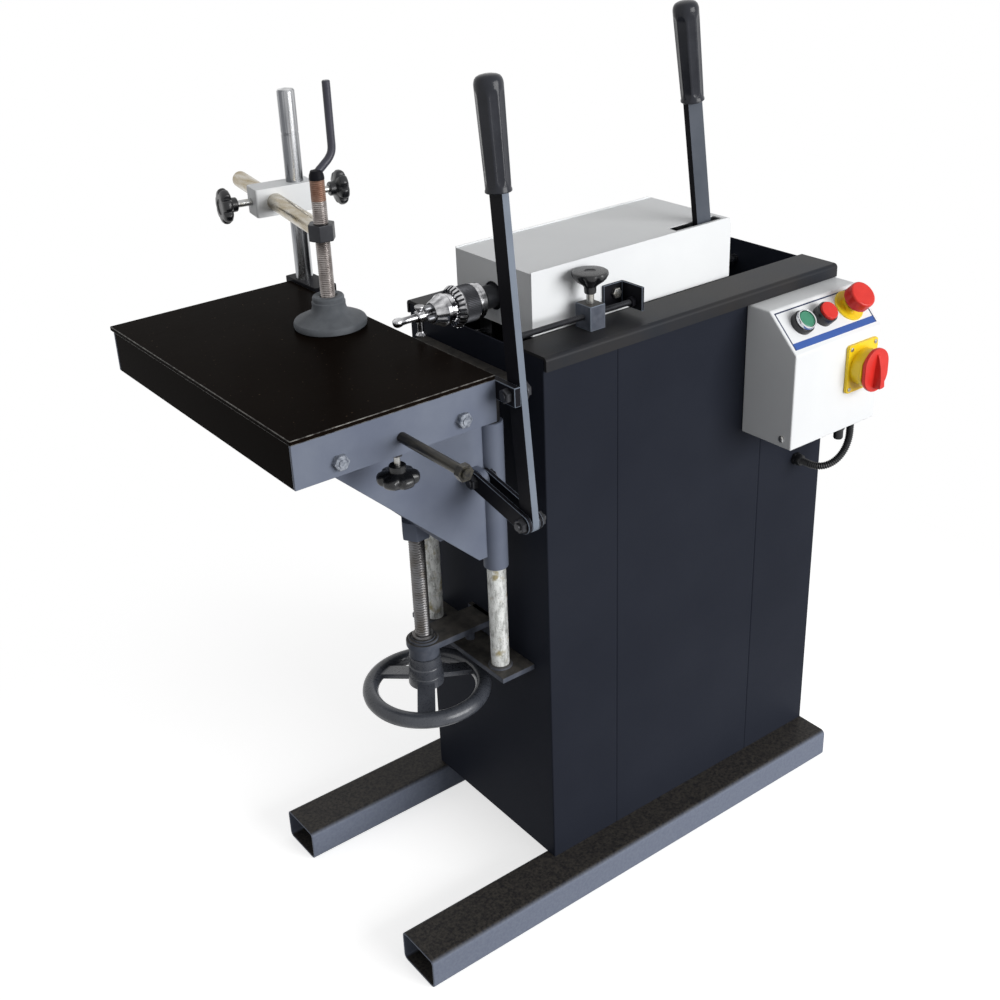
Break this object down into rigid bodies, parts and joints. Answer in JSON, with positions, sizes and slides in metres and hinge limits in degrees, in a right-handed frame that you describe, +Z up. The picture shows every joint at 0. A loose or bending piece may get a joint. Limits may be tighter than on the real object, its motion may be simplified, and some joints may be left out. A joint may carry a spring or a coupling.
{
  "type": "horizontal boring machine",
  "caption": "Floor-standing horizontal boring machine: sheet cabinet on tube feet, lever-fed sliding spindle head with keyed chuck, lever-fed lifting table with hold-down.",
  "frame": {"origin": "on the floor, midway along and between the two foot tubes", "axes": "+X away from the table along the spindle, +Y away from the operator, +Z up"},
  "size_m": [0.9035, 0.7568, 1.2296],
  "materials": {
    "black_powder_coat": "fine textured powder coat",
    "grey_black_enamel": "satin enamel",
    "gloss_black_enamel": "gloss enamel",
    "white_enamel": "satin enamel",
    "bright_steel": "ground bar",
    "zinc_steel": "zinc plated",
    "dark_steel": "blackened",
    "chuck_steel": "polished",
    "black_plastic": "moulded",
    "motor_enamel": "hammered enamel",
    "belt_rubber": "matt",
    "cast_black": "painted casting",
    "green_cap": "moulded",
    "red_cap": "moulded",
    "yellow_plastic": "moulded"
  },
  "bodies": {
    "base": {"foot_tubes": "black_powder_coat", "front_panel": "black_powder_coat", "rear_panel": "black_powder_coat", "near_side_panel": "black_powder_coat", "far_side_panel": "black_powder_coat", "top_rails": "grey_black_enamel", "slide_rods": "bright_steel", "lift_supports": "grey_black_enamel", "guide_rods": "bright_steel", "fulcrum_bracket": "dark_steel", "stop_block": "grey_black_enamel", "control_box": "white_enamel", "button_bezels": "black_plastic", "isolator_plate": "yellow_plastic", "cable_glands": "black_plastic", "conduit": "black_plastic"},
    "lift": {"near_lift_bracket": "grey_black_enamel", "far_lift_bracket": "grey_black_enamel", "lift_nut": "dark_steel", "link_bars": "grey_black_enamel", "link_bolts": "zinc_steel"},
    "lift_drive": {"lift_screw": "zinc_steel", "handwheel": "cast_black"},
    "table": {"table_top": "gloss_black_enamel", "table_frame": "grey_black_enamel", "table_guide_rods": "bright_steel", "guide_rod_bolts": "zinc_steel", "lever_bolt": "zinc_steel", "hold_down_column": "bright_steel"},
    "side_stop": {"lateral_stop_rod": "zinc_steel"},
    "side_lock": {"table_lock_knob": "black_plastic"},
    "table_arm": {"table_lever": "grey_black_enamel", "table_lever_grip": "black_plastic"},
    "clamp_carrier": {"clamp_block": "white_enamel"},
    "rod_lock": {"rod_knob": "black_plastic"},
    "column_lock": {"column_knob": "black_plastic"},
    "clamp_arm": {"cross_rod": "bright_steel"},
    "pad": {"clamp_pad": "cast_black"},
    "clamp_drive": {"clamp_screw": "zinc_steel"},
    "head": {"head_plate": "dark_steel", "spindle_housing": "dark_steel", "spindle_bearings": "zinc_steel", "drive_belt": "belt_rubber", "motor": "motor_enamel", "head_cover": "white_enamel", "stop_bracket": "grey_black_enamel", "stop_rod": "zinc_steel"},
    "spindle_unit": {"spindle": "bright_steel", "chuck_body": "chuck_steel", "chuck_jaws": "chuck_steel", "chuck_key": "chuck_steel"},
    "chuck_ring": {"chuck_sleeve": "chuck_steel"},
    "motor_drive": {"motor_pulley": "dark_steel"},
    "head_arm": {"head_lever": "grey_black_enamel", "head_lever_grip": "black_plastic"},
    "stop_lock": {"stop_knob": "black_plastic"},
    "start": {"start_button": "green_cap"},
    "stop": {"stop_button": "red_cap"},
    "emergency": {"estop_button": "red_cap"},
    "isolator": {"isolator_handle": "red_cap"}
  },
  "joints": [
    {"name": "lift_slide", "type": "slide", "parent": "base", "child": "lift", "axis": [0, 0, 1], "range_m": [-0.09, 0]},
    {"name": "handwheel_turn", "type": "hinge", "parent": "base", "child": "lift_drive", "pos_m": [-0.25, 0, 0.4], "axis": [0, 0, 1], "range_deg": [0, 8100]},
    {"name": "table_slide", "type": "slide", "parent": "lift", "child": "table", "axis": [0, 1, 0], "range_m": [-0.045, 0.03]},
    {"name": "table_lever_swing", "type": "hinge", "parent": "lift", "child": "table_arm", "pos_m": [-0.2075, -0.199, 0.664], "axis": [1, 0, 0], "range_deg": [-10.03, 14.95]},
    {"name": "side_stop_slide", "type": "slide", "parent": "table", "child": "side_stop", "axis": [0, 1, 0], "range_m": [-0.03, 0.03]},
    {"name": "side_lock_turn", "type": "hinge", "parent": "table", "child": "side_lock", "pos_m": [-0.36, -0.145, 0.77], "axis": [0, 0, 1], "range_deg": [-180, 180]},
    {"name": "clamp_height", "type": "slide", "parent": "table", "child": "clamp_carrier", "axis": [0, 0, 1], "range_m": [0, 0.1]},
    {"name": "rod_lock_turn", "type": "hinge", "parent": "clamp_carrier", "child": "rod_lock", "pos_m": [-0.27209, 0.33189, 0.981], "axis": [0.9863, -0.165, 0], "range_deg": [-180, 180]},
    {"name": "column_lock_turn", "type": "hinge", "parent": "clamp_carrier", "child": "column_lock", "pos_m": [-0.1853, 0.31737, 0.981], "axis": [0.9863, -0.165, 0], "range_deg": [-180, 180]},
    {"name": "clamp_reach", "type": "slide", "parent": "clamp_carrier", "child": "clamp_arm", "axis": [0.165, 0.9863, 0], "range_m": [-0.04, 0.06]},
    {"name": "pad_press", "type": "slide", "parent": "clamp_arm", "child": "pad", "axis": [0, 0, 1], "range_m": [0, 0.05]},
    {"name": "crank_turn", "type": "hinge", "parent": "pad", "child": "clamp_drive", "pos_m": [-0.27749, 0.13001, 0.95], "axis": [0, 0, 1], "range_deg": [0, 4500]},
    {"name": "head_slide", "type": "slide", "parent": "base", "child": "head", "axis": [1, 0, 0], "range_m": [-0.045, 0.045]},
    {"name": "spindle_spin", "type": "hinge", "parent": "head", "child": "spindle_unit", "pos_m": [0, 0, 0.8845], "axis": [1, 0, 0], "continuous": true},
    {"name": "chuck_ring_turn", "type": "hinge", "parent": "spindle_unit", "child": "chuck_ring", "pos_m": [-0.15, 0, 0.8845], "axis": [1, 0, 0], "range_deg": [-60, 60]},
    {"name": "motor_spin", "type": "hinge", "parent": "head", "child": "motor_drive", "pos_m": [0.1, 0, 0.6405], "axis": [1, 0, 0], "continuous": true},
    {"name": "head_lever_swing", "type": "hinge", "parent": "base", "child": "head_arm", "pos_m": [0.27852, -0.063, 0.48], "axis": [0, 1, 0], "range_deg": [-7.76, 7.76]},
    {"name": "stop_lock_turn", "type": "hinge", "parent": "base", "child": "stop_lock", "pos_m": [-0.0275, -0.107, 0.9], "axis": [0, 0, 1], "range_deg": [-180, 180]},
    {"name": "start_press", "type": "slide", "parent": "base", "child": "start", "axis": [0, -0.7071, 0.7071], "range_m": [-0.004, 0], "stiffness_N_per_m": 300},
    {"name": "stop_press", "type": "slide", "parent": "base", "child": "stop", "axis": [0, -0.7071, 0.7071], "range_m": [-0.004, 0], "stiffness_N_per_m": 300},
    {"name": "emergency_press", "type": "slide", "parent": "base", "child": "emergency", "axis": [0, -0.7071, 0.7071], "range_m": [-0.005, 0], "stiffness_N_per_m": 600},
    {"name": "isolator_turn", "type": "hinge", "parent": "base", "child": "isolator", "pos_m": [0.3575, -0.239, 0.731], "axis": [0, -1, 0], "range_deg": [0, 90]}
  ],
  "couplings": [
    {"joint": "handwheel_turn", "follows": "lift_slide", "rad_per_m": -1570.8},
    {"joint": "table_lever_swing", "follows": "table_slide", "rad_per_m": -5.72},
    {"joint": "crank_turn", "follows": "pad_press", "rad_per_m": 1570.8},
    {"joint": "motor_spin", "follows": "spindle_spin", "ratio": 1},
    {"joint": "head_lever_swing", "follows": "head_slide", "rad_per_m": 2.934}
  ]
}
